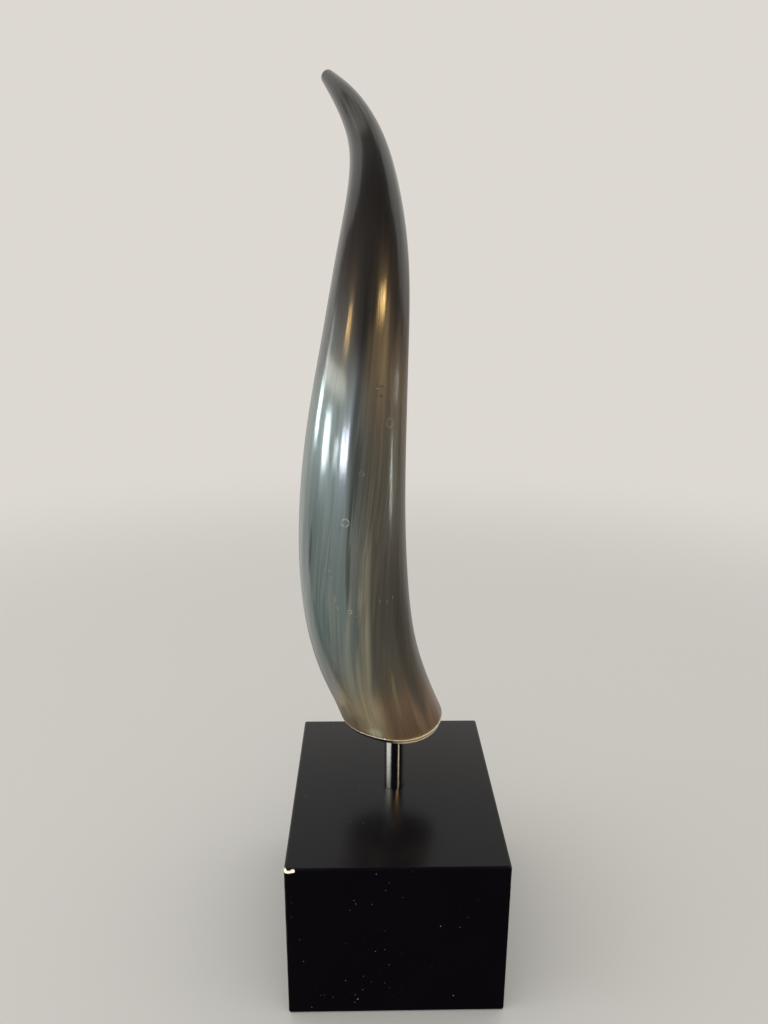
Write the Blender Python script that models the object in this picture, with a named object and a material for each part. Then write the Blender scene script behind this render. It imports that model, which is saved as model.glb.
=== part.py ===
"""A polished cattle horn standing on a steel post and a black lacquered wooden block.

Units are metres, +Z is up and the front of the block faces -Y. The origin is the middle
of the block's underside. The horn rises from the middle of the block, bows towards the
front and the left, and its tip sweeps back over the block again.
"""

import math

import bmesh
import bpy
import numpy as np
from mathutils import Vector

MM = 0.001

# Block: a 5 x 6 x 4 inch solid with softened edges
BLOCK_WIDTH = 127.0 * MM
BLOCK_DEPTH = 152.4 * MM
BLOCK_HEIGHT = 101.6 * MM
BLOCK_EDGE = 1.5 * MM
BLOCK_EDGE_STEPS = 3

# Post: a half inch rod, let into a blind hole in the block and one in the horn
POST_RADIUS = 6.35 * MM
POST_CHAMFER = 0.5 * MM
POST_IN_BLOCK = 32.0 * MM
POST_TOP = 174.0 * MM
POST_SIDES = 48

# Free space kept between pieces that touch
GAP = 0.3 * MM

# Horn: its centre line from the cut end to the tip, as sideways, depth and height in mm,
# with the radius of the section there. The depth is negative towards the front.
HORN_STATIONS = (
    (-1.7, 6.0, 151.4, 28.4),
    (-9.6, -11.0, 179.0, 27.5),
    (-18.1, -23.5, 210.0, 28.4),
    (-23.8, -31.0, 250.0, 29.4),
    (-24.9, -33.4, 295.0, 28.4),
    (-22.3, -33.0, 340.0, 25.9),
    (-17.8, -30.0, 384.0, 22.2),
    (-14.2, -20.0, 426.0, 18.3),
    (-13.7, -3.0, 459.0, 13.4),
    (-18.7, 20.5, 489.6, 9.2),
    (-28.5, 38.5, 509.8, 6.6),
    (-39.0, 56.5, 524.8, 3.5),
)
HORN_SIDES = 40
HORN_RING_STEP = 5.5 * MM
TIP_STEPS = 5

# The horn is round, and widens to an oval towards its cut end
BASE_OVAL = 0.14
BASE_OVAL_TURN = math.radians(-21)
BASE_OVAL_REACH = 70.0 * MM

# The saw cut across the leaning horn is nearly level: it drops a little to the right and front.
# Sections turn from the slope of the cut to square across the horn within the blend length.
CUT_SLOPE_RIGHT = 0.05
CUT_SLOPE_BACK = -0.14
CUT_BLEND = 60.0 * MM

# Under the polished wall is a low lip, which steps in and then draws in further to the cut face
LIP_HEIGHT = 3.0 * MM
LIP_BEAD = 0.4 * MM
LIP_STEP = 0.7 * MM
LIP_DRAW_IN = 1.7 * MM


def clear_scene():
    for item in list(bpy.data.objects):
        bpy.data.objects.remove(item, do_unlink=True)


def material(name, colour, roughness, metallic=0.0):
    made = bpy.data.materials.new(name)
    made.use_nodes = True
    shader = made.node_tree.nodes["Principled BSDF"]
    shader.inputs["Base Color"].default_value = (*colour, 1.0)
    shader.inputs["Roughness"].default_value = roughness
    shader.inputs["Metallic"].default_value = metallic
    return made


def place(name, bm, finish, sharp_degrees=30):
    """Turns a bmesh into a named object with its material and smooth round faces."""
    bmesh.ops.recalc_face_normals(bm, faces=bm.faces)
    mesh = bpy.data.meshes.new(name)
    bm.to_mesh(mesh)
    bm.free()
    mesh.shade_smooth()
    mesh.set_sharp_from_angle(angle=math.radians(sharp_degrees))
    if finish is not None:
        mesh.materials.append(finish)
    made = bpy.data.objects.new(name, mesh)
    bpy.context.scene.collection.objects.link(made)
    return made


def skin(rings):
    """A closed bmesh through a stack of rings of points, with a flat cap at each end."""
    bm = bmesh.new()
    loops = [[bm.verts.new(point) for point in ring] for ring in rings]
    for below, above in zip(loops, loops[1:]):
        count = len(below)
        for i in range(count):
            j = (i + 1) % count
            bm.faces.new((below[i], below[j], above[j], above[i]))
    bm.faces.new(reversed(loops[0]))
    bm.faces.new(loops[-1])
    return bm


def turned_rings(profile, sides):
    """Rings about the Z axis through a profile of (radius, height) pairs."""
    angles = [2 * math.pi * i / sides for i in range(sides)]
    return [
        [Vector((radius * math.cos(a), radius * math.sin(a), height)) for a in angles]
        for radius, height in profile
    ]


def cutter(name, bm, target):
    """A hidden shape that a Boolean takes away from the target."""
    tool = place(name, bm, None)
    tool.hide_render = True
    tool.display_type = "WIRE"
    cut = target.modifiers.new(name, "BOOLEAN")
    cut.operation = "DIFFERENCE"
    cut.object = tool


def spline_bends(knots, values):
    """Second derivatives of the natural cubic through values at the given knots."""
    steps = np.diff(knots)
    count = len(knots)
    system = np.eye(count)
    target = np.zeros((count, values.shape[1]))
    rise = np.diff(values, axis=0) / steps[:, None]
    for i in range(1, count - 1):
        system[i, i - 1] = steps[i - 1]
        system[i, i] = 2 * (steps[i - 1] + steps[i])
        system[i, i + 1] = steps[i]
        target[i] = 6 * (rise[i] - rise[i - 1])
    return np.linalg.solve(system, target)


def spline_at(knots, values, bends, along):
    """Value and direction of that cubic at one distance along it."""
    i = int(np.clip(np.searchsorted(knots, along) - 1, 0, len(knots) - 2))
    step = knots[i + 1] - knots[i]
    a = (knots[i + 1] - along) / step
    b = (along - knots[i]) / step
    value = a * values[i] + b * values[i + 1]
    value = value + ((a**3 - a) * bends[i] + (b**3 - b) * bends[i + 1]) * step**2 / 6
    slope = (values[i + 1] - values[i]) / step
    slope = slope + ((3 * b**2 - 1) * bends[i + 1] - (3 * a**2 - 1) * bends[i]) * step / 6
    return value, slope


def horn_line():
    """Knots, station values and their second derivatives, all in metres."""
    values = np.array(HORN_STATIONS) * MM
    lengths = np.linalg.norm(np.diff(values[:, :3], axis=0), axis=1)
    knots = np.concatenate([[0.0], np.cumsum(lengths)])
    return knots, values, spline_bends(knots, values)


def cut_normal():
    return Vector((CUT_SLOPE_RIGHT, CUT_SLOPE_BACK, 1.0)).normalized()


def section_normal(tangent, along):
    """The cut's own direction at the cut end, and the centre line's further up."""
    share = min(1.0, max(0.0, along / CUT_BLEND))
    share = share * share * (3 - 2 * share)
    return (cut_normal() * (1 - share) + tangent * share).normalized()


def horn_section(centre, tangent, normal, radius, along):
    """One ring of points: the horn's round section, slid along the horn onto the plane."""
    across = Vector((1.0, 0.0, 0.0))
    across = (across - tangent * across.dot(tangent)).normalized()
    deep = tangent.cross(across)
    oval = BASE_OVAL * math.exp(-((along / BASE_OVAL_REACH) ** 2))
    ring = []
    for i in range(HORN_SIDES):
        angle = 2 * math.pi * i / HORN_SIDES
        reach = radius * (1 + oval * math.cos(2 * (angle - BASE_OVAL_TURN)))
        spoke = across * (reach * math.cos(angle)) + deep * (reach * math.sin(angle))
        ring.append(centre + spoke - tangent * (spoke.dot(normal) / tangent.dot(normal)))
    return ring


def lip_rings(centre, tangent, radius):
    """The lip below the polished wall, from the cut face up to the bead."""
    down = -cut_normal()
    levels = (
        (LIP_HEIGHT, LIP_DRAW_IN),
        (LIP_HEIGHT - LIP_BEAD, LIP_DRAW_IN - LIP_BEAD),
        (LIP_STEP + LIP_BEAD, LIP_STEP),
        (LIP_BEAD, LIP_BEAD / 2),
    )
    return [
        horn_section(centre + down * depth, tangent, cut_normal(), radius - draw_in, 0.0)
        for depth, draw_in in levels
    ]


def horn_rings():
    knots, values, bends = horn_line()
    count = round(knots[-1] / HORN_RING_STEP)
    rings = []
    for i in range(count + 1):
        along = knots[-1] * i / count
        value, slope = spline_at(knots, values, bends, along)
        centre, radius = Vector(value[:3]), value[3]
        tangent = Vector(slope[:3]).normalized()
        if i == 0:
            rings += lip_rings(centre, tangent, radius)
        normal = section_normal(tangent, along)
        rings.append(horn_section(centre, tangent, normal, radius, along))
    for i in range(1, TIP_STEPS):
        turn = math.pi / 2 * i / TIP_STEPS
        beyond = centre + tangent * (radius * math.sin(turn))
        rings.append(horn_section(beyond, tangent, tangent, radius * math.cos(turn), along))
    return rings


def blind_hole(name, low, high, target):
    """A round hole for the post, between two heights."""
    radius = POST_RADIUS + GAP
    cutter(name, skin(turned_rings(((radius, low), (radius, high)), POST_SIDES)), target)


def make_horn():
    finish = material("polished_horn", (0.10, 0.095, 0.08), 0.18)
    horn = place("horn", skin(horn_rings()), finish, 35)
    blind_hole("horn_hole_cutter", BLOCK_HEIGHT + GAP, POST_TOP + GAP, horn)


def make_post():
    finish = material("chromed_steel", (0.62, 0.62, 0.62), 0.06, 1.0)
    bottom = BLOCK_HEIGHT - POST_IN_BLOCK
    profile = (
        (POST_RADIUS - POST_CHAMFER, bottom),
        (POST_RADIUS, bottom + POST_CHAMFER),
        (POST_RADIUS, POST_TOP - POST_CHAMFER),
        (POST_RADIUS - POST_CHAMFER, POST_TOP),
    )
    place("post", skin(turned_rings(profile, POST_SIDES)), finish)


def make_block():
    finish = material("black_lacquer", (0.006, 0.006, 0.007), 0.28)
    bm = bmesh.new()
    bmesh.ops.create_cube(bm, size=1.0)
    bmesh.ops.scale(bm, vec=(BLOCK_WIDTH, BLOCK_DEPTH, BLOCK_HEIGHT), verts=bm.verts)
    bmesh.ops.translate(bm, vec=(0, 0, BLOCK_HEIGHT / 2), verts=bm.verts)
    bmesh.ops.bevel(
        bm,
        geom=bm.edges[:],
        offset=BLOCK_EDGE,
        segments=BLOCK_EDGE_STEPS,
        profile=0.5,
        affect="EDGES",
    )
    block = place("block", bm, finish)
    bottom = BLOCK_HEIGHT - POST_IN_BLOCK - GAP
    blind_hole("block_hole_cutter", bottom, BLOCK_HEIGHT + POST_RADIUS, block)


def main():
    clear_scene()
    make_block()
    make_post()
    make_horn()


main()
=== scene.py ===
import math
from functools import partial

import bmesh
import bpy
import numpy as np
from mathutils import Matrix, Vector, noise


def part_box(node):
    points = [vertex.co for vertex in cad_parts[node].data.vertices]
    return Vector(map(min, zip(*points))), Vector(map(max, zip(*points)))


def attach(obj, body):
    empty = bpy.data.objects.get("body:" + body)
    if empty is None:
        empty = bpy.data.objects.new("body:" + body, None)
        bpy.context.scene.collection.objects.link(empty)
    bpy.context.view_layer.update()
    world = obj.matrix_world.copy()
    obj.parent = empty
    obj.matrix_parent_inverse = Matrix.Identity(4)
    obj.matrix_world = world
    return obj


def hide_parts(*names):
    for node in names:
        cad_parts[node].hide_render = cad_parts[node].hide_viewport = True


# A polished cattle horn on a chromed post and a black lacquered block.
# Metres, +Z up, front towards -Y, the origin in the middle of the block's underside.

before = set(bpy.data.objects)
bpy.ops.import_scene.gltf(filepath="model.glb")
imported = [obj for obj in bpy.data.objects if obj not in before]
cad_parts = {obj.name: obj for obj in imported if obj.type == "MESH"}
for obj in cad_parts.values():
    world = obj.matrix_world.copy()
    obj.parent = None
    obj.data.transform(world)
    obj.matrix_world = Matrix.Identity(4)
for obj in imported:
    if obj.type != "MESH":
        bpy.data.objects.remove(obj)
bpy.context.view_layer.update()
scene = bpy.context.scene
mm = 0.001


def toLinear(hexColour):
    channels = [int(hexColour[i:i + 2], 16) / 255 for i in (1, 3, 5)]
    linear = [c / 12.92 if c <= 0.04045 else ((c + 0.055) / 1.055) ** 2.4 for c in channels]
    return (*linear, 1.0)


softStep = {"interpolation_type": "SMOOTHSTEP"}             # for a Map Range that eases in and out
mixColours = {"data_type": "RGBA", "output": "Result"}      # for a Mix of two colours


def addNode(tree, kind, inputs=(), output=0, stops=None, **settings):
    # adds a node with its settings, stops and inputs, and returns the output that is wanted, or
    # the node itself for None. The inputs are in the order of the sockets or under their names,
    # and each is a value or another node's output.
    node = tree.nodes.new("ShaderNode" + kind)
    for name, value in settings.items():
        setattr(node, name, value)
    if stops:
        ramp = node.color_ramp
        while len(ramp.elements) < len(stops):
            ramp.elements.new(0.5)
        for element, (place, colour) in zip(ramp.elements, stops):
            element.position = place
            element.color = colour
    for socket, value in inputs.items() if isinstance(inputs, dict) else enumerate(inputs):
        if isinstance(value, bpy.types.NodeSocket):
            tree.links.new(value, node.inputs[socket])
        else:
            node.inputs[socket].default_value = value
    return node if output is None else node.outputs[output]


def newMaterial(name, **sockets):
    # a Principled material, with the values that are the same all over set on its own sockets
    material = bpy.data.materials.new(name)
    material.use_nodes = True
    shader = material.node_tree.nodes["Principled BSDF"]
    for socket, value in sockets.items():
        shader.inputs[socket.replace("_", " ")].default_value = value
    return material, material.node_tree, shader


def addPiece(name, mesh, slot, sharpDegrees=None):
    mesh.shade_smooth()
    if sharpDegrees:
        mesh.set_sharp_from_angle(angle=math.radians(sharpDegrees))
    piece = bpy.data.objects.new(name, mesh)
    scene.collection.objects.link(piece)
    if slot:
        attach(piece, "root")
    return piece


def turnedMesh(name, profile, sides):
    # closed mesh from (radius, height) pairs turned about the Z axis, capped at both ends
    bm = bmesh.new()
    angles = [2 * math.pi * i / sides for i in range(sides)]
    rings = [[bm.verts.new((r * math.cos(a), r * math.sin(a), z)) for a in angles] for r, z in profile]
    for low, high in zip(rings, rings[1:]):
        for i in range(sides):
            j = (i + 1) % sides
            bm.faces.new((low[i], low[j], high[j], high[i]))
    bm.faces.new(reversed(rings[0]))
    bm.faces.new(rings[-1])
    bmesh.ops.recalc_face_normals(bm, faces=bm.faces)
    mesh = bpy.data.meshes.new(name)
    bm.to_mesh(mesh)
    bm.free()
    return mesh


# Camera: fitted to the block's corners in the photograph

view = {
    "place": (-16.7 * mm, -427.6 * mm, 408.3 * mm),
    "turnRight": 1.26,        # degrees
    "lookDown": 16.08,
    "lean": 0.30,
    "lens": 26.86,            # mm on a 36 mm long side
}


def makeCamera():
    data = bpy.data.cameras.new("camera")
    data.sensor_width = 36
    data.lens = view["lens"]
    data.clip_start = 0.01
    camera = bpy.data.objects.new("camera", data)
    turn = Matrix.Rotation(math.radians(-view["turnRight"]), 4, "Z")
    tilt = Matrix.Rotation(math.radians(90 - view["lookDown"]), 4, "X")
    lean = Matrix.Rotation(math.radians(view["lean"]), 4, "Z")
    camera.matrix_world = Matrix.Translation(view["place"]) @ turn @ tilt @ lean
    scene.collection.objects.link(camera)
    scene.camera = camera


makeCamera()
print("camera placed")


# Horn

horn = {
    # centre line from the cut end to the tip: sideways, depth, height and radius in mm,
    # as in the part's source but for a slightly fuller tip
    "stations": (
        (-1.7, 6.0, 151.4, 28.4),
        (-9.6, -11.0, 179.0, 27.5),
        (-18.1, -23.5, 210.0, 28.4),
        (-23.8, -31.0, 250.0, 29.4),
        (-24.9, -33.4, 295.0, 28.4),
        (-22.3, -33.0, 340.0, 25.9),
        (-17.8, -30.0, 384.0, 22.2),
        (-14.2, -20.0, 426.0, 18.3),
        (-13.7, -3.0, 459.0, 13.4),
        (-18.7, 20.5, 489.6, 9.2),
        (-28.5, 38.5, 509.8, 6.8),
        (-39.0, 56.5, 524.8, 4.0),
    ),
    "sides": 176,
    "ringStep": 1.25 * mm,
    "tipSteps": 14,
    "tipLength": 3.5 * mm,
    "baseOval": 0.14,                     # wider across than deep at the cut end
    "baseOvalTurn": math.radians(-21),
    "baseOvalReach": 70 * mm,
    "cutSlope": (0.05, -0.14),            # drops a little to the right and to the front
    "wallEdgeSlope": (-0.02, -0.14),      # the polished wall ends higher on the right, above the lip
    "wallEdgeRise": 0.8 * mm,
    "cutBlend": 60 * mm,
    "lipHeight": 3.0 * mm,
    "lipDrawIn": 1.4 * mm,
    "lipRound": 0.5 * mm,                 # at its lower edge, where the face is taken in by lipInset
    "lipInset": 0.3 * mm,
    "lipHollow": 0.12 * mm,
    "lipStep": 0.7 * mm,
    "beadRadius": 0.45 * mm,
    "fluteDepth": 0.10 * mm,              # soft lengthwise flats left by scraping and polishing
    "fibreTurn": 0.66,                    # radians that the fibres turn about the horn near the cut
    "fibreTurnReach": 190 * mm,
    "grainRadius": 30 * mm,               # of the straight cylinder on which streaks are drawn
    "front": math.radians(270),           # the side that faces the camera
}

# the post's sizes, here because the horn's hole is made to fit it
post = {
    "radius": 6.35 * mm,
    "top": 174.0 * mm,
    "inBlock": 32.0 * mm,
    "chamfer": 0.5 * mm,
    "gap": 0.3 * mm,
    "sides": 128,
}


def splineBends(knots, values):
    # second derivatives of the natural cubic through the stations
    steps = np.diff(knots)
    rise = np.diff(values, axis=0) / steps[:, None]
    system = np.eye(len(knots))
    target = np.zeros_like(values)
    for i in range(1, len(knots) - 1):
        system[i, i - 1:i + 2] = steps[i - 1], 2 * (steps[i - 1] + steps[i]), steps[i]
        target[i] = 6 * (rise[i] - rise[i - 1])
    return np.linalg.solve(system, target)


def splineAt(knots, values, bends, along):
    i = int(np.clip(np.searchsorted(knots, along) - 1, 0, len(knots) - 2))
    step = knots[i + 1] - knots[i]
    a, b = (knots[i + 1] - along) / step, (along - knots[i]) / step
    value = a * values[i] + b * values[i + 1]
    value = value + ((a**3 - a) * bends[i] + (b**3 - b) * bends[i + 1]) * step**2 / 6
    slope = (values[i + 1] - values[i]) / step
    slope = slope + ((3 * b**2 - 1) * bends[i + 1] - (3 * a**2 - 1) * bends[i]) * step / 6
    return value[:3], slope[:3] / np.linalg.norm(slope[:3]), value[3]


def fibreAngle(along):
    # how far the fibres have turned about the horn at this distance from the cut
    share = min(1.0, max(0.0, along / horn["fibreTurnReach"]))
    return horn["fibreTurn"] * share * share * (3 - 2 * share)


def fluting(angles, along, length):
    # low waves round the horn that keep the polished highlights from being one clean band
    turned = angles - fibreAngle(along)
    waves = 0.42 * np.sin(9 * turned + 1.1 + 14 * along) + 0.30 * np.sin(14 * turned + 4.0 - 9 * along)
    waves = waves + 0.18 * np.sin(23 * turned + 2.3 + 11 * along) + 0.10 * np.sin(37 * turned + 0.6)
    swell = 0.8 + 0.2 * math.sin(31 * along + 0.7)
    ends = min(1.0, along / (12 * mm)) * min(1.0, max(0.0, (length - along) / (110 * mm)))
    return horn["fluteDepth"] * waves * swell * ends


def hornSection(angles, centre, tangent, normal, radii, along):
    # the round section, slid along the horn onto the plane that has this normal
    across = np.array((1.0, 0.0, 0.0))
    across = across - tangent * across.dot(tangent)
    across /= np.linalg.norm(across)
    deep = np.cross(tangent, across)
    oval = horn["baseOval"] * math.exp(-((along / horn["baseOvalReach"]) ** 2))
    reach = radii * (1 + oval * np.cos(2 * (angles - horn["baseOvalTurn"])))
    spokes = np.outer(reach * np.cos(angles), across) + np.outer(reach * np.sin(angles), deep)
    return centre + spokes - np.outer(spokes @ normal / (tangent @ normal), tangent)


def hornRings():
    # returns rings of points with each ring's distance along the horn and its radius
    values = np.array(horn["stations"]) * mm
    knots = np.concatenate([[0.0], np.cumsum(np.linalg.norm(np.diff(values[:, :3], axis=0), axis=1))])
    bends = splineBends(knots, values)
    length = knots[-1]
    angles = 2 * math.pi * np.arange(horn["sides"]) / horn["sides"]
    cut = np.array((*horn["cutSlope"], 1.0))
    cut /= np.linalg.norm(cut)
    centre, tangent, radius = splineAt(knots, values, bends, 0.0)
    rings = []

    wallEdge = np.array((*horn["wallEdgeSlope"], 1.0))
    wallEdge /= np.linalg.norm(wallEdge)

    def lipRing(down, drawIn):
        # planes between the edge of the wall and the cut face
        share = down / horn["lipHeight"]
        normal = wallEdge * (1 - share) + cut * share
        normal /= np.linalg.norm(normal)
        origin = centre + cut * (horn["wallEdgeRise"] * (1 - share) - down)
        points = hornSection(angles, origin, tangent, normal, radius - drawIn, 0.0)
        rings.append((points, -down - drawIn * 0.2, radius))

    # the hole for the post, from its blind end down to the cut face
    holeRadius = post["radius"] + post["gap"]
    holeTop = post["top"] + post["gap"]
    circle = holeRadius * np.stack([np.cos(angles), np.sin(angles)], 1)
    faceRadius = radius - horn["lipDrawIn"]
    face = hornSection(angles, centre - cut * horn["lipHeight"], tangent, cut, faceRadius, 0.0)
    faceCentre = face.mean(axis=0)
    mouth = faceCentre[2] - ((circle - faceCentre[:2]) @ cut[:2]) / cut[2]
    for share, along in ((0.0, -30 * mm), (0.5, -25 * mm), (1.0, -25 * mm)):
        hole = np.column_stack([circle, holeTop + (mouth - holeTop) * share])
        rings.append((hole, along, radius))
    # the cut face, from the hole out to the lip
    for share in np.linspace(0.02, 0.98, 24):
        along = -horn["lipHeight"] - (1 - share) * 22 * mm
        rings.append((hole + (face - hole) * share, along, radius))
    # the lip: a rounded lower edge, a slightly hollow wall, the step and the pale bead above it
    height, drawIn, step, bead = horn["lipHeight"], horn["lipDrawIn"], horn["lipStep"], horn["beadRadius"]
    rounding, inset = horn["lipRound"], horn["lipInset"]
    for turn in np.linspace(0.0, math.pi / 2, 5):
        lipRing(height - rounding * (1 - math.cos(turn)), drawIn + rounding * (1 - math.sin(turn)) - inset)
    low = height - rounding
    high = 2 * bead + 0.15 * mm
    for share in np.linspace(0.15, 1.0, 6):
        hollow = horn["lipHollow"] * math.sin(math.pi * share)
        lipRing(low + (high - low) * share, drawIn - inset + (step - drawIn + inset) * share + hollow)
    for turn in np.linspace(-math.pi / 2, math.pi / 2, 9):
        lipRing(bead * (1 - math.sin(turn)), bead * 1.25 * (1 - math.cos(turn)) + 0.02 * mm)
    # the polished wall
    count = round(length / horn["ringStep"])
    for i in range(1, count + 1):
        along = length * i / count if i > 1 else 1.5 * mm
        centre, tangent, radius = splineAt(knots, values, bends, along)
        share = min(1.0, along / horn["cutBlend"])
        share = share * share * (3 - 2 * share)
        normal = wallEdge * (1 - share) + tangent * share
        normal /= np.linalg.norm(normal)
        radii = radius + fluting(angles, along, length)
        rings.append((hornSection(angles, centre, tangent, normal, radii, along), along, radius))
    # the blunt round tip carries on at the angle at which the wall narrows
    start = math.atan((splineAt(knots, values, bends, length - mm)[2] - radius) / mm)
    for i in range(1, horn["tipSteps"]):
        turn = start + (math.pi / 2 - start) * i / horn["tipSteps"]
        beyond = horn["tipLength"] * (math.sin(turn) - math.sin(start)) / (1 - math.sin(start))
        tipRadius = radius * math.cos(turn) / math.cos(start)
        points = hornSection(angles, centre + tangent * beyond, tangent, tangent, tipRadius, along)
        rings.append((points, length + beyond, radius))
    return rings, angles


def hornMesh():
    rings, angles = hornRings()
    sides = horn["sides"]
    points = np.concatenate([ring[0] for ring in rings])
    faces = []
    for k in range(len(rings) - 1):
        for i in range(sides):
            j = (i + 1) % sides
            faces.append((k * sides + i, k * sides + j, (k + 1) * sides + j, (k + 1) * sides + i))
    faces.append(tuple(reversed(range(sides))))
    faces.append(tuple((len(rings) - 1) * sides + i for i in range(sides)))
    mesh = bpy.data.meshes.new("polished_horn")
    mesh.from_pydata(points.tolist(), [], faces)
    mesh.update()
    # grain: the wall as a straight cylinder, so streaks narrow with the horn
    # skin: distance round from the front line, distance along from the cut, distance to the right
    grain, skin = [], []
    for _, along, radius in rings:
        level = np.full(sides, along)
        turned = angles - fibreAngle(along)
        wide = horn["grainRadius"]
        grain.append(np.column_stack([wide * np.cos(turned), wide * np.sin(turned), level]))
        off = (angles - horn["front"] + math.pi) % (2 * math.pi) - math.pi
        skin.append(np.column_stack([off * radius, level, np.sin(off) * radius]))
    for name, data in (("grain", grain), ("skin", skin)):
        attribute = mesh.attributes.new(name, "FLOAT_VECTOR", "POINT")
        attribute.data.foreach_set("vector", np.concatenate(data).astype(np.float32).ravel())
    return mesh


# Polished horn: keratin, scraped, sanded and buffed. Fibres run its whole length, the tip is
# near black and the wall turns olive and tan towards the cut. The buffed skin is glossy and
# breaks reflections into lengthwise streaks, and a little light gets in under it.

hornFinish = {
    "ior": 1.55,
    "coat": 0.9,               # the buffed skin over the duller fibres
    "coatRoughness": 0.10,
    "roughness": 0.36,
    # streaks: width and length in mm. The finest are drawn coarser than the real 0.2 mm, to show
    "fibre": (0.9, 70),
    "streak": (3.6, 120),
    "band": (15.0, 110),
    "fibreRelief": 0.030,      # heights in mm
    "streakRelief": 0.11,
    "peelRelief": 0.020,       # the orange peel of the buffing, 0.8 mm across
    "markRelief": -0.03,
    "nickRelief": -0.05,
    "tip": "#2C2826",
    "black": "#201C1B",
    "darkBrown": "#332924",
    "amber": "#726049",
    "sand": "#686153",
    "olive": "#535046",
    "brown": "#866D54",
    "tan": "#BAA885",
    "grey": "#707D79",
    "ash": "#504E4A",
    "paleGrey": "#86887D",
    "paleOlive": "#9A937B",
    "khaki": "#605848",
    "teal": "#617673",
    "slate": "#454745",
    "gold": "#9A8058",
    "paleRim": "#D2CBA4",
    # painted reflection: a grey that stands in for the sheen on the tip
    "tipGrey": "#57544F",
    "smoke": "#282321",
    # cream and ochre are lightened as a painted warm glow on the lip and bead; the lip's near black is
    # painted shade
    "cream": "#FFF6DC",
    "ochre": "#BB9248",
    "lipPaintedShade": "#0E0B09",
    "sawn": "#857459",
    "mark": "#B4B2A6",
    # the colours up each side, at shares of the first 400 mm from the cut
    "rightSide": (
        (0.00, "brown"), (0.09, "brown"), (0.16, "khaki"), (0.25, "olive"), (0.46, "sand"),
        (0.58, "amber"), (0.66, "darkBrown"), (0.74, "black"), (1.00, "tip"),
    ),
    "leftSide": (
        (0.00, "tan"), (0.09, "tan"), (0.15, "paleGrey"), (0.24, "grey"), (0.53, "grey"),
        (0.60, "ash"), (0.73, "darkBrown"), (0.80, "black"), (1.00, "tip"),
    ),
    # marks of handling: mm round from the front line, mm along from the cut, radius in mm, strength
    "rings": (
        (-3.3, 156.3, 1.9, 0.9), (17.4, 206, 2.2, 0.35), (4.0, 180.8, 1.2, 0.3), (-2.2, 110.3, 0.9, 0.7),
    ),
    # nicks: mm round, mm along, radius, and their length along the horn against that round it
    "nicks": (
        (10.6, 218.5, 0.9, 1.1), (8.6, 222.3, 1.4, 0.35), (10.4, 222.9, 1.6, 0.3), (11.8, 222.3, 0.7, 0.6),
        (-2.0, 264, 0.4, 1.3), (-1.0, 252, 0.3, 1.3), (-2.2, 110.3, 0.35, 1.0), (-3.2, 156.6, 0.3, 1.0),
    ),
    # scratches: mm round, mm along, half the length and half the width
    "scratches": (
        (-12.2, 131, 1.5, 0.3), (-11.0, 128, 1.2, 0.25), (-9.4, 117, 2.4, 0.3), (-8.6, 112, 2.0, 0.25),
        (-18.0, 76, 2.6, 0.3), (18.5, 112, 1.6, 0.3), (22.5, 113, 1.4, 0.25), (14.0, 114, 1.8, 0.2),
        (0.6, 107.5, 0.5, 0.4), (-14.6, 214, 1.4, 0.4),
    ),
    # soft streaks in the keratin, and first a painted reflection near the tip: mm round, mm along, half
    # the width, half the length, lean (mm round for each mm along), strength and colour
    "wisps": (
        # painted reflection: a grey streak on the tip in place of the sheen it would catch
        (-1.8, 369, 4.4, 18, 0.04, 1.0, "tipGrey"),
        (0.2, 258, 7.5, 34, -0.04, 0.95, "smoke"),
        (4.5, 226, 5.5, 26, 0.0, 0.5, "amber"),
        (-5.0, 262, 3.0, 26, -0.12, 0.5, "smoke"),
        (-1.5, 208, 1.8, 26, 0.02, 0.45, "smoke"),
        (14.5, 262, 3.6, 32, 0.05, 0.5, "smoke"),
        (0.4, 178, 2.2, 26, 0.05, 0.55, "smoke"),
        (-1.7, 138, 1.2, 32, 0.045, 0.55, "smoke"),
        (-24.4, 140, 0.9, 13, 0.12, 0.7, "smoke"),
        (-20.5, 84, 3.0, 32, -0.16, 0.25, "smoke"),
        (17.5, 128, 7.0, 44, 0.0, 0.25, "smoke"),
        (25.5, 92, 4.0, 66, 0.0, 0.35, "smoke"),
        (5.0, 106, 2.8, 46, 0.09, 0.55, "paleOlive"),
        (2.6, 78, 2.6, 34, 0.14, 0.55, "paleOlive"),
        (-3.6, 58, 3.2, 34, 0.16, 0.6, "paleOlive"),
        (-6.5, 86, 1.4, 32, 0.17, 0.4, "paleOlive"),
        (-12.0, 70, 1.6, 26, 0.2, 0.3, "paleOlive"),
        (-13.0, 108, 5.0, 18, 0.0, 0.45, "paleGrey"),
        (-18.5, 104, 4.0, 16, 0.0, 0.5, "teal"),
        (-22.0, 168, 3.0, 34, 0.05, 0.35, "teal"),
        (27.5, 40, 4.5, 18, 0.0, 0.4, "slate"),
        (14.0, 50, 1.2, 18, 0.08, 0.5, "gold"),
        (-9.0, 50, 6.0, 26, 0.2, 0.65, "paleOlive"),
        (-6.0, 32, 10.0, 26, 0.15, 0.6, "tan"),
        (-20.0, 17, 5.0, 10, 0.2, 0.7, "tan"),
        (-7.5, 7, 5.0, 9, 0.25, 1.0, "paleRim"),
        (-24.0, 12, 4.0, 14, 0.1, 0.35, "gold"),
        (-17.0, 16, 7.0, 18, 0.2, 0.45, "amber"),
        (-19.0, 3, 7.0, 4, 0.3, 0.7, "gold"),
        (-6.5, 4, 3.0, 5, 0.3, 1.0, "paleRim"),
    ),
}


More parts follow.
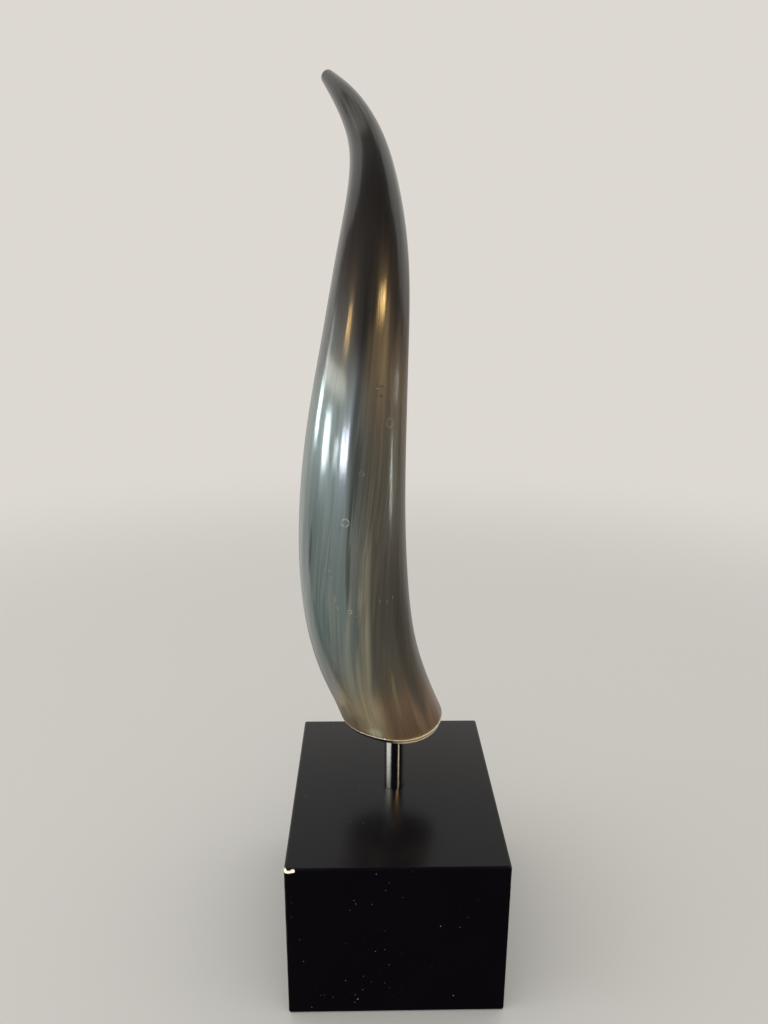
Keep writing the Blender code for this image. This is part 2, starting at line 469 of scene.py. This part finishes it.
def makeHornMaterial():
    material, tree, shader = newMaterial(
        "buffed_horn_keratin",
        IOR=hornFinish["ior"],
        Specular_IOR_Level=0.34,
        Coat_Weight=hornFinish["coat"],
        Coat_Roughness=hornFinish["coatRoughness"],
        Coat_IOR=1.5,
        Subsurface_Weight=0.1,
        Subsurface_Radius=(1.0, 0.6, 0.3),
        Subsurface_Scale=2.5 * mm,
    )
    add = partial(addNode, tree)
    colour = {name: toLinear(value) for name, value in hornFinish.items() if isinstance(value, str)}
    grain = add("Attribute", output="Vector", attribute_name="grain")
    skin = add("Attribute", output="Vector", attribute_name="skin")
    around, along, rightward = add("SeparateXYZ", (skin,), output=None).outputs
    # the fibres wander a millimetre or so to either side
    slow = add("VectorMath", (grain, (40, 40, 14)), operation="MULTIPLY")
    wander = add("TexNoise", {"Vector": slow, "Scale": 1.0, "Detail": 1.0}, output="Color")
    wander = add("VectorMath", (wander, (5 * mm, 5 * mm, 0), grain), operation="MULTIPLY_ADD")

    def drawnOut(size, detail, seed):
        # noise drawn out along the horn, each streak of this width and length in millimetres
        width, length = size
        often = (1000 / width, 1000 / width, 1000 / length)
        elsewhere = (seed, seed * 0.7, seed * 1.3)
        place = add("VectorMath", (wander, often, elsewhere), operation="MULTIPLY_ADD")
        return add("TexNoise", {"Vector": place, "Scale": 1.0, "Detail": detail, "Roughness": 0.55})

    def swung(distance, pattern, most):
        # the distance, swung to either side by the pattern
        swing = add("Math", (pattern, 0.5), operation="SUBTRACT")
        return add("Math", (swing, most, distance), operation="MULTIPLY_ADD")

    def markReach(x, y, length):
        # distance in mm over the skin from one place, counted shorter along the horn
        offset = add("VectorMath", (skin, (x * mm, y * mm, 0.0)), operation="SUBTRACT")
        flat = add("VectorMath", (offset, (1000, 1000 / length, 0)), operation="MULTIPLY")
        return add("VectorMath", (flat,), output="Value", operation="LENGTH")

    bands = drawnOut(hornFinish["band"], 1, 3.1)
    streaks = drawnOut(hornFinish["streak"], 3, 11.7)
    fine = drawnOut(hornFinish["fibre"], 2, 27.3)
    frayed = swung(swung(around, fine, 2.5 * mm), streaks, 3 * mm)

    def wisp(x, y, halfWidth, halfLength, lean):
        # one long soft streak, its edges frayed by the fibres
        off = add("Math", (along, -lean, frayed), operation="MULTIPLY_ADD")
        off = add("Math", (off, (x - lean * y) * mm), operation="SUBTRACT")
        off = add("Math", (off, 1000 / halfWidth), operation="MULTIPLY")
        far = add("Math", (along, y * mm), operation="SUBTRACT")
        far = add("Math", (far, 1000 / halfLength), operation="MULTIPLY")
        spread = add("Math", (off, off), operation="MULTIPLY")
        spread = add("Math", (far, far, spread), operation="MULTIPLY_ADD")
        return add("MapRange", (spread, 0.0, 1.6, 1.0, 0.0), **softStep)

    # the dark of the tip gives way to brown and grey in uneven streaks
    reach = swung(swung(swung(along, streaks, 55 * mm), bands, 50 * mm), fine, 30 * mm)
    share = add("MapRange", (reach, 0.0, 400 * mm))
    left, right = (
        add("ValToRGB", (share,), stops=[(place, colour[tint]) for place, tint in hornFinish[flank]])
        for flank in ("leftSide", "rightSide")
    )
    # grey green on the left flank, olive on the right, meeting in streaks
    side = add("MapRange", (swung(rightward, streaks, 16 * mm), -7 * mm, 10 * mm), **softStep)
    body = add("Mix", {"Factor": side, "A": left, "B": right}, **mixColours)
    for *place, strength, tint in hornFinish["wisps"]:
        amount = add("Math", (wisp(*place), strength), operation="MULTIPLY")
        body = add("Mix", {"Factor": amount, "A": body, "B": colour[tint]}, **mixColours)
    # every fibre a little lighter or darker than the next
    fineTone = add("Math", (fine, 0.35), operation="MULTIPLY")
    streakTone = add("Math", (streaks, 0.5), operation="MULTIPLY")
    tone = add("Math", (fineTone, streakTone), operation="ADD")
    tone = add("Math", (bands, 0.35, tone), operation="MULTIPLY_ADD")
    tone = add("MapRange", (tone, 0.42, 0.78, 0.70, 1.28), **softStep)
    shade = add("CombineColor", (tone, tone, tone))
    body = add("Mix", {"Factor": 1.0, "A": body, "B": shade}, blend_type="MULTIPLY", **mixColours)
    # marks left by handling, pale where the polish is broken and dark where dirt sits in them
    pale, dark = 0.0, 0.0
    broken = add("TexNoise", {"Vector": skin, "Scale": 420.0, "Detail": 2.0})
    kept = add("MapRange", (broken, 0.34, 0.54), **softStep)
    for x, y, radius, strength in hornFinish["rings"]:
        off = add("Math", (markReach(x, y, 1.0), radius), operation="SUBTRACT")
        off = add("Math", (off,), operation="ABSOLUTE")
        edge = add("MapRange", (off, 0.1, 0.55, strength, 0.0), **softStep)
        edge = add("Math", (edge, kept), operation="MULTIPLY")
        pale = add("Math", (edge, pale), operation="ADD")
    kept = add("MapRange", (broken, 0.3, 0.55), **softStep)
    for x, y, length, width in hornFinish["scratches"]:
        off = markReach(x, y, length / width)
        edge = add("MapRange", (off, width * 0.3, width, 0.85, 0.0), **softStep)
        edge = add("Math", (edge, kept), operation="MULTIPLY")
        pale = add("Math", (edge, pale), operation="ADD")
    kept = add("MapRange", (broken, 0.25, 0.5), **softStep)
    for x, y, radius, length in hornFinish["nicks"]:
        off = markReach(x, y, length)
        edge = add("MapRange", (off, radius * 0.3, radius, 1.0, 0.0), **softStep)
        edge = add("Math", (edge, kept), operation="MULTIPLY")
        dark = add("Math", (edge, dark), operation="ADD")
    for amount, tint in ((pale, "mark"), (dark, "black")):
        amount = add("Math", (amount, 0.8), operation="MULTIPLY")
        body = add("Mix", {"Factor": amount, "A": body, "B": colour[tint]}, **mixColours)
    # golden brown where the wall thins towards the cut
    rim = add("MapRange", (swung(along, streaks, 9 * mm), 0.0, 6 * mm, 0.55, 0.0), **softStep)
    body = add("Mix", {"Factor": rim, "A": body, "B": colour["ochre"]}, **mixColours)
    # the lip: on the right ochre with a pale line, lightened as a painted warm glow; on the left near
    # black, painted shade
    line = add("Math", (along, 2.6 * mm), operation="ADD")
    line = add("Math", (line,), operation="ABSOLUTE")
    line = add("MapRange", (line, 0.1 * mm, 0.5 * mm, 0.8, 0.0), **softStep)
    lip = add("Mix", {"Factor": line, "A": colour["ochre"], "B": colour["cream"]}, **mixColours)
    onRight = add("MapRange", (rightward, 0.0, 12 * mm), **softStep)
    # painted shade on the lip's left side, painted warm glow on its right
    lip = add("Mix", {"Factor": onRight, "A": colour["lipPaintedShade"], "B": lip}, **mixColours)
    # the bead above it is pale, partly a painted highlight along the edge, and the cut face below it shows
    # the horn's layers
    worn = add("MapRange", (streaks, 0.28, 0.5, 0.35, 1.0), **softStep)
    bead = add("Mix", {"Factor": worn, "A": colour["ochre"], "B": colour["cream"]}, **mixColours)
    layers = add("TexNoise", {"Vector": grain, "Scale": 900.0, "Detail": 2.0})
    sawn = add("Mix", {"Factor": layers, "A": colour["sawn"], "B": colour["brown"]}, **mixColours)
    for low, high, tint in ((0.0, 0.6, bead), (-1.25, -0.95, lip), (-3.6, -3.4, sawn)):
        under = add("MapRange", (along, low * mm, high * mm, 1.0, 0.0), **softStep)
        body = add("Mix", {"Factor": under, "A": body, "B": tint}, **mixColours)
    tree.links.new(body, shader.inputs["Base Color"])
    # duller along some fibres, in marks and on the cut face
    dull = add("MapRange", (fine, 0.4, 0.75), **softStep)
    dull = add("Math", (dull, 0.10, hornFinish["roughness"]), operation="MULTIPLY_ADD")
    dull = add("Math", (pale, 0.25, dull), operation="MULTIPLY_ADD")
    dull = add("Math", (under, 0.3, dull), operation="MULTIPLY_ADD")
    tree.links.new(dull, shader.inputs["Roughness"])
    # relief in millimetres: the fibres, which fade out towards the tip, the peel and the marks
    relief = add("Math", (fine, hornFinish["fibreRelief"]), operation="MULTIPLY")
    relief = add("Math", (streaks, hornFinish["streakRelief"], relief), operation="MULTIPLY_ADD")
    fading = add("MapRange", (along, 200 * mm, 390 * mm, 1.0, 0.06), **softStep)
    relief = add("Math", (relief, fading), operation="MULTIPLY")
    place = add("TexCoord", output="Object")
    peel = add("TexNoise", {"Vector": place, "Scale": 1300.0, "Detail": 1.0})
    for height, most in ((peel, "peelRelief"), (pale, "markRelief"), (dark, "nickRelief")):
        relief = add("Math", (height, hornFinish[most], relief), operation="MULTIPLY_ADD")
    bump = add("Bump", {"Height": relief, "Strength": 1.0, "Distance": mm})
    tree.links.new(bump, shader.inputs["Normal"])
    tree.links.new(bump, shader.inputs["Coat Normal"])
    return material


def makeHorn():
    piece = addPiece("polished_horn", hornMesh(), "polished_horn", 40)
    piece.data.materials.append(makeHornMaterial())
    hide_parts("horn")


makeHorn()
print("horn made")


# Post: a half inch steel rod, bright chromed. The plating mirrors what is round it, with
# hair-fine scratches along it from handling.

def makePostMaterial():
    material, tree, shader = newMaterial(
        "chromed_steel",
        Base_Color=toLinear("#C9CAC8"),
        Metallic=1.0,
        Roughness=0.06,
    )
    add = partial(addNode, tree)
    place = add("TexCoord", output="Object")
    # scratches about 0.3 mm apart round the rod and 25 mm long
    stretched = add("VectorMath", (place, (3000, 3000, 40)), operation="MULTIPLY")
    hairs = add("TexNoise", {"Vector": stretched, "Scale": 1.0, "Detail": 1.0})
    rough = add("MapRange", (hairs, 0.5, 0.8, 0.05, 0.16))
    tree.links.new(rough, shader.inputs["Roughness"])
    bump = add("Bump", {"Height": hairs, "Distance": 0.004 * mm})
    tree.links.new(bump, shader.inputs["Normal"])
    return material


def makePost():
    radius, chamfer = post["radius"], post["chamfer"]
    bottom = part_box("block")[1][2] - post["inBlock"]
    straight = post["top"] - bottom - 2 * chamfer
    profile = [(radius - chamfer, bottom)]
    profile += [(radius, bottom + chamfer + share * straight) for share in (0.0, 0.25, 0.5, 0.75)]
    profile += [(radius, post["top"] - chamfer), (radius - chamfer, post["top"])]
    mesh = turnedMesh("chromed_post", profile, post["sides"])
    piece = addPiece("chromed_post", mesh, "chromed_steel", 30)
    piece.data.materials.append(makePostMaterial())
    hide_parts("post")


makePost()
print("post made")


# Block: solid wood under sprayed black lacquer, rubbed to a satin, with softened edges. One
# corner is chipped to the pale wood, and dust and small knocks show on the dark surface.

block = {
    "edge": 1.5 * mm,
    "edgeSteps": 6,
    "lacquer": "#07060B",
    "bareWood": "#FBF5E8",
    "woodFibre": "#E0D4BE",
    "wornEdge": "#4A4642",
    "dust": "#8E8A84",
    "gloss": (0.205, 0.27),       # roughness of the clearest and the haziest places
    "ripple": 1.6,                # mm across the faint ripple that spraying leaves
    # chips at the front left top corner: offset from the corner, and the cutter's radius, in mm
    "chips": (
        (0.2, 1.0, -0.2, 0.9), (0.5, 0.3, -0.9, 1.1), (1.4, 0.0, -1.5, 0.95), (2.5, 0.0, -1.7, 0.9),
        (3.6, 0.0, -1.5, 0.9), (4.6, 0.0, -1.2, 1.0), (5.2, 0.0, -1.1, 1.0),
    ),
}


def carve(piece, cutters):
    # applies the cutters' Booleans, then removes the cutters
    for cutter in cutters:
        cut = piece.modifiers.new(cutter.name, "BOOLEAN")
        cut.object = cutter
    evaluated = piece.evaluated_get(bpy.context.evaluated_depsgraph_get())
    carved = bpy.data.meshes.new_from_object(evaluated)
    piece.modifiers.clear()
    piece.data = carved
    for cutter in cutters:
        bpy.data.objects.remove(cutter)


def chipCutter(index, place, radius, material):
    # a rough lump that bites out of the block's edge
    bm = bmesh.new()
    bmesh.ops.create_icosphere(bm, subdivisions=3, radius=radius)
    for vert in bm.verts:
        vert.co *= 1 + 0.35 * noise.noise(vert.co * 1400 + Vector((index * 7.3, 0, 0)))
        vert.co += place
    mesh = bpy.data.meshes.new(f"chip_cutter_{index}")
    bm.to_mesh(mesh)
    bm.free()
    mesh.materials.append(material)
    cutter = bpy.data.objects.new(mesh.name, mesh)
    scene.collection.objects.link(cutter)
    return cutter


def makeLacquer():
    material, tree, shader = newMaterial("satin_black_lacquer", IOR=1.47, Specular_IOR_Level=0.36)
    add = partial(addNode, tree)
    place = add("TexCoord", output="Object")
    lying = add("VectorMath", (place, (-1, 1, 1)), operation="MULTIPLY")

    def specks(cellSize, few, many, core, reach):
        # one round speck in each of the chosen cells, its radius given as a share of the cell
        cells = add("TexVoronoi", {"Vector": lying, "Scale": 1000 / cellSize}, output=None).outputs
        chosen = add("MapRange", (add("SeparateColor", (cells["Color"],)), few, many), **softStep)
        speck = add("MapRange", (cells["Distance"], core, reach, 1.0, 0.0), **softStep)
        return add("Math", (speck, chosen), operation="MULTIPLY")

    # dust: some specks up to 0.9 mm wide, and finer ones that lie in clusters
    fineDust = specks(2.5, 0.62, 0.95, 0.05, 0.13)
    clusters = add("TexNoise", {"Vector": lying, "Scale": 34.0, "Detail": 1.0})
    clusters = add("MapRange", (clusters, 0.5, 0.62), **softStep)
    fineDust = add("Math", (fineDust, clusters), operation="MULTIPLY")
    dust = add("Math", (specks(8.0, 0.5, 0.9, 0.02, 0.055), fineDust), operation="MAXIMUM")
    # the top is clean but for its left end
    parts = add("SeparateXYZ", (place,), output=None).outputs
    onTop = add("MapRange", (parts["Z"], 100.2 * mm, 101.2 * mm), **softStep)
    clean = add("MapRange", (parts["X"], -30 * mm, -5 * mm), **softStep)
    clean = add("Math", (onTop, clean), operation="MULTIPLY")
    dusty = add("Math", (1.0, clean), operation="SUBTRACT")
    dust = add("Math", (dust, dusty), operation="MULTIPLY")
    # wear: the lacquer is thin and grey on the vertical edges in short stretches
    corner = add("VectorMath", (place,), operation="ABSOLUTE")
    parts = add("SeparateXYZ", (corner,), output=None).outputs
    halfWidth, halfDepth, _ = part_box("block")[1]
    nearX = add("MapRange", (parts["X"], halfWidth - 0.9 * mm, halfWidth - 0.2 * mm), **softStep)
    nearY = add("MapRange", (parts["Y"], halfDepth - 0.9 * mm, halfDepth - 0.2 * mm), **softStep)
    edge = add("Math", (nearX, nearY), operation="MULTIPLY")
    patches = add("TexNoise", {"Vector": place, "Scale": 120.0, "Detail": 3.0})
    patches = add("MapRange", (patches, 0.52, 0.62), **softStep)
    worn = add("Math", (edge, patches), operation="MULTIPLY")
    paint = toLinear(block["lacquer"])
    for amount, tint in ((worn, "wornEdge"), (dust, "dust")):
        paint = add("Mix", {"Factor": amount, "A": paint, "B": toLinear(block[tint])}, **mixColours)
    tree.links.new(paint, shader.inputs["Base Color"])
    # haze: very faint smears where hands have been, some centimetres across
    haze = add("TexNoise", {"Vector": place, "Scale": 22.0, "Detail": 3.0})
    rough = add("MapRange", (haze, 0.3, 0.7, *block["gloss"]), **softStep)
    rough = add("Math", (dust, 0.5, rough), operation="MULTIPLY_ADD")
    tree.links.new(rough, shader.inputs["Roughness"])
    ripple = add("TexNoise", {"Vector": place, "Scale": 1000 / block["ripple"], "Detail": 1.0})
    relief = add("Math", (dust, 12.0, ripple), operation="MULTIPLY_ADD")
    bump = add("Bump", {"Height": relief, "Distance": 0.003 * mm})
    tree.links.new(bump, shader.inputs["Normal"])
    return material


def makeBareWood():
    # raw pale wood inside the chips, dry and fibrous
    material, tree, shader = newMaterial("bare_pale_wood", Roughness=0.8)
    add = partial(addNode, tree)
    place = add("TexCoord", output="Object")
    stretched = add("VectorMath", (place, (400, 2500, 2500)), operation="MULTIPLY")
    fibres = add("TexNoise", {"Vector": stretched, "Scale": 1.0, "Detail": 3.0})
    pale, dark = (toLinear(block[tint]) for tint in ("bareWood", "woodFibre"))
    wood = add("Mix", {"Factor": fibres, "A": pale, "B": dark}, **mixColours)
    tree.links.new(wood, shader.inputs["Base Color"])
    bump = add("Bump", {"Height": fibres, "Distance": 0.1 * mm})
    tree.links.new(bump, shader.inputs["Normal"])
    return material


def makeBlock():
    low, high = (Vector(corner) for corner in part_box("block"))
    bm = bmesh.new()
    bmesh.ops.create_cube(bm, size=1.0)
    bmesh.ops.scale(bm, vec=high - low, verts=bm.verts)
    bmesh.ops.translate(bm, vec=(high + low) / 2, verts=bm.verts)
    bmesh.ops.bevel(bm, geom=bm.edges[:], offset=block["edge"], segments=block["edgeSteps"], profile=0.5,
                    affect="EDGES")
    mesh = bpy.data.meshes.new("lacquered_block")
    bm.to_mesh(mesh)
    bm.free()
    lacquer, wood = makeLacquer(), makeBareWood()
    mesh.materials.append(lacquer)
    mesh.materials.append(wood)
    piece = addPiece("lacquered_block", mesh, "black_lacquer")
    bottom = high.z - post["inBlock"] - post["gap"]
    holeRadius = post["radius"] + post["gap"]
    holeProfile = [(holeRadius, bottom), (holeRadius, high.z + 10 * mm)]
    holeMesh = turnedMesh("post_hole_cutter", holeProfile, post["sides"])
    holeMesh.materials.append(lacquer)
    hole = bpy.data.objects.new("post_hole_cutter", holeMesh)
    scene.collection.objects.link(hole)
    corner = Vector((low.x, low.y, high.z))
    chips = [
        chipCutter(i, corner + Vector((x, y, z)) * mm, radius * mm, wood)
        for i, (x, y, z, radius) in enumerate(block["chips"])
    ]
    carve(piece, [hole, *chips])
    piece.data.shade_smooth()
    piece.data.set_sharp_from_angle(angle=math.radians(30))
    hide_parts("block")


makeBlock()
print("block made")


# Floor and light: a plain pale floor that fades into a plain pale background, soft boxes of all
# sizes whose reflections lie on the horn, and round it a pale screen that gives the edges their sheen

studio = {
    "background": "#DDD9D2",
    "floor": "#E4E1DB",
    "floorRadius": 6.0,
    "fadeStart": 0.45,                    # metres from the block where the floor starts to fade
    "fadeEnd": 1.5,
    # what glossy surfaces see: a bright screen behind and dim surroundings, browner below
    "screen": "#E2DFD9",
    "screenStart": 0.15,                  # depth of the direction at which the screen starts
    "screenLateLeft": 0.21,               # and how much later it starts beside the horn
    "screenLateRight": 0.47,
    "surround": "#2E2D30",
    "surroundLow": "#33292A",
    "softColour": "#F4F4F2",
    "softLight": 0.80,
    "aim": (-20 * mm, -50 * mm, 0.0),     # the soft boxes are placed round this point
    # soft boxes: the height in mm on the horn from which they are placed, azimuth, elevation,
    # distance, width, height, how far their edges fade, brightness, colour and what they light:
    # the horn's and the post's reflections, everything softly, or the block.
    # Azimuths are degrees from straight behind the horn, positive to the right.
    "boxes": (
        ("pane_far", 346, -78, 4, 0.5, 0.16, 0.14, 0.35, 26.0, "#DCEBF2", "horn"),
        ("pane_haze", 372, -79, 14, 0.5, 0.16, 0.16, 0.50, 4.5, "#DFE8E4", "horn"),
        ("pane_wide", 338, -109, 1.5, 0.5, 0.21, 0.15, 0.35, 38.0, "#E2EEF3", "horn"),
        ("pane_thin", 334, -136, 0, 0.5, 0.08, 0.08, 0.35, 26.0, "#DCEBF2", "horn"),
        ("pane_near", 333, -154.5, 0, 0.5, 0.14, 0.11, 0.30, 36.0, "#DDE6F6", "horn"),
        ("pane_glow", 333, -156, 0, 0.5, 0.34, 0.36, 0.50, 2.0, "#CFCFE8", "horn"),
        ("pane_upper", 370, -112, 11.7, 0.5, 0.80, 0.062, 0.16, 7.5, "#E4E6D6", "horn"),
        ("gap_right", 365, 82, -3, 0.5, 0.06, 0.07, 0.35, 5.0, "#E4ECEA", "horn"),
        ("gap_right_low", 318, 89, -11, 0.5, 0.05, 0.14, 0.35, 13.0, "#E4ECEA", "horn"),
        ("lamp_left", 387, -130, 24, 2.5, 0.60, 0.64, 0.45, 27.0, "#FFCF7C", "horn"),
        ("lamp_right", 403, 139, 25.5, 2.5, 1.00, 0.75, 0.50, 34.0, "#FFD286", "horn"),
        ("lamp_glow", 381, 121, 13, 2.5, 1.30, 1.20, 0.30, 1.8, "#E8C48C", "horn"),
        ("fill_left", 330, -105, 38, 1.5, 1.20, 1.00, 0.35, 1.6, "#EAF2F4", "soft"),
        ("fill_front", 330, 165, 35, 1.6, 1.00, 0.80, 0.35, 0.5, "#FFF4E8", "soft"),
        ("block_left", 102, -109, 29, 0.8, 1.15, 0.18, 0.30, 29.0, "#E9E9E0", "block"),
        ("block_right", 102, 125, 29, 0.8, 0.18, 0.18, 0.30, 34.0, "#FFEBD2", "block"),
    ),
}


def addSoftBox(name, seenFrom, azimuth, elevation, distance, width, height, fading, brightness,
               hexColour, use):
    turn, rise = math.radians(azimuth), math.radians(elevation)
    away = Vector((math.sin(turn) * math.cos(rise), math.cos(turn) * math.cos(rise), math.sin(rise)))
    data = bpy.data.lights.new(name, "AREA")
    data.shape = "RECTANGLE"
    data.size, data.size_y = width, height
    data.color = toLinear(hexColour)[:3]
    data.energy = brightness * math.pi * width * height
    # bright in the middle and fading to the edges, as cloth over a lamp is
    data.use_nodes = True
    tree = data.node_tree
    add = partial(addNode, tree)
    spot = add("NewGeometry", output="Parametric")
    parts = add("SeparateXYZ", (spot,), output=None).outputs
    fade = 1.0
    for axis in "XY":
        off = add("Math", (parts[axis], 0.5), operation="SUBTRACT")
        off = add("Math", (off,), operation="ABSOLUTE")
        edge = add("MapRange", (off, 0.5 - fading, 0.5, 1.0, 0.0), **softStep)
        fade = add("Math", (edge, fade), operation="MULTIPLY")
    tree.links.new(fade, tree.nodes["Emission"].inputs["Strength"])
    light = bpy.data.objects.new(name, data)
    light.location = Vector(studio["aim"]) + Vector((0, 0, seenFrom * mm)) + away * distance
    light.rotation_euler = away.to_track_quat("Z", "Y").to_euler()
    light.visible_camera = False
    light.visible_glossy = use != "soft"
    light.visible_diffuse = use != "horn"
    scene.collection.objects.link(light)
    if use != "soft":
        # screened off from everything else
        only = bpy.data.collections.new(name)
        for piece in ("lacquered_block",) if use == "block" else ("polished_horn", "chromed_post"):
            only.objects.link(bpy.data.objects[piece])
        light.light_linking.receiver_collection = only


def makeFloor():
    bm = bmesh.new()
    bmesh.ops.create_circle(bm, cap_ends=True, radius=studio["floorRadius"], segments=96)
    mesh = bpy.data.meshes.new("floor")
    bm.to_mesh(mesh)
    bm.free()
    floor = addPiece("floor", mesh, None)
    floor.visible_glossy = False
    floor.visible_diffuse = False
    material, tree, shader = newMaterial(
        "pale_floor",
        Base_Color=toLinear(studio["floor"]),
        Roughness=0.9,
        Specular_IOR_Level=0.0,
    )
    add = partial(addNode, tree)
    place = add("TexCoord", output="Object")
    reach = add("VectorMath", (place,), output="Value", operation="LENGTH")
    ends = studio["fadeStart"], studio["fadeEnd"]
    fade = add("MapRange", (reach, *ends), interpolation_type="SMOOTHERSTEP")
    glow = add("Emission", (toLinear(studio["background"]),))
    mix = add("MixShader", (fade, shader.outputs[0], glow))
    tree.links.new(mix, tree.nodes["Material Output"].inputs["Surface"])
    mesh.materials.append(material)


def makeWorld():
    # the camera sees a plain background, gloss sees the pale screen and the dim surroundings, and
    # everything else gets an even soft light
    world = bpy.data.worlds.new("studio")
    scene.world = world
    world.use_nodes = True
    tree = world.node_tree
    tree.nodes.clear()
    add = partial(addNode, tree)
    direction = add("TexCoord", output="Generated")
    side, depth, height = add("SeparateXYZ", (direction,), output=None).outputs
    onLeft = add("MapRange", (side, -0.5, -0.2, 1.0, 0.0), **softStep)
    onRight = add("Math", (1.0, onLeft), operation="SUBTRACT")
    # on the left, the screen starts later at middle heights
    middle = add("MapRange", (height, 0.45, 0.72, 1.0, 0.0), **softStep)
    rising = add("MapRange", (height, -0.05, 0.2, 0.45, 1.0), **softStep)
    middle = add("Math", (middle, rising), operation="MULTIPLY")
    late = add("Math", (onLeft, middle), operation="MULTIPLY")
    late = add("Math", (late, studio["screenLateLeft"]), operation="MULTIPLY")
    # on the right, it starts later, dimmer and softer low down
    low = add("MapRange", (height, -0.05, 0.25, 1.0, 0.0), **softStep)
    low = add("Math", (low, onRight), operation="MULTIPLY")
    late = add("Math", (low, studio["screenLateRight"], late), operation="MULTIPLY_ADD")
    start = add("Math", (late, studio["screenStart"]), operation="ADD")
    # and overhead a little later again
    high = add("MapRange", (height, 0.68, 0.80), **softStep)
    late = add("MapRange", (side, -0.2, 0.2, 0.06, 0.105), **softStep)
    start = add("Math", (high, late, start), operation="MULTIPLY_ADD")
    blur = add("Math", (low, 0.13, 0.03), operation="MULTIPLY_ADD")
    nearer = add("Math", (start, blur), operation="SUBTRACT")
    further = add("Math", (start, blur), operation="ADD")
    screen = add("MapRange", (depth, nearer, further), **softStep)
    dimmed = add("MapRange", (height, -0.75, -0.35, 0.45, 1.0), **softStep)
    screen = add("Math", (screen, dimmed), operation="MULTIPLY")
    dimmed = add("Math", (low, -0.5, 0.9), operation="MULTIPLY_ADD")
    screen = add("Math", (screen, dimmed), operation="MULTIPLY")
    below = add("MapRange", (height, -0.35, -0.05, 1.0, 0.0), **softStep)
    tints = {name: toLinear(studio[name]) for name in ("screen", "surround", "surroundLow")}
    seen = add("Mix", {"Factor": below, "A": tints["surround"], "B": tints["surroundLow"]}, **mixColours)
    seen = add("Mix", {"Factor": screen, "A": seen, "B": tints["screen"]}, **mixColours)
    gloss = add("Background", {"Color": seen})
    soft = add("Background", {"Color": toLinear(studio["softColour"]), "Strength": studio["softLight"]})
    plain = add("Background", {"Color": toLinear(studio["background"])})
    path = add("LightPath", output=None).outputs
    mix = add("MixShader", (path["Is Glossy Ray"], soft, gloss))
    mix = add("MixShader", (path["Is Camera Ray"], mix, plain))
    add("OutputWorld", {"Surface": mix}, output=None)


makeFloor()
makeWorld()
for box in studio["boxes"]:
    addSoftBox(*box)
scene.view_settings.view_transform = "Standard"
print("floor and lights made")
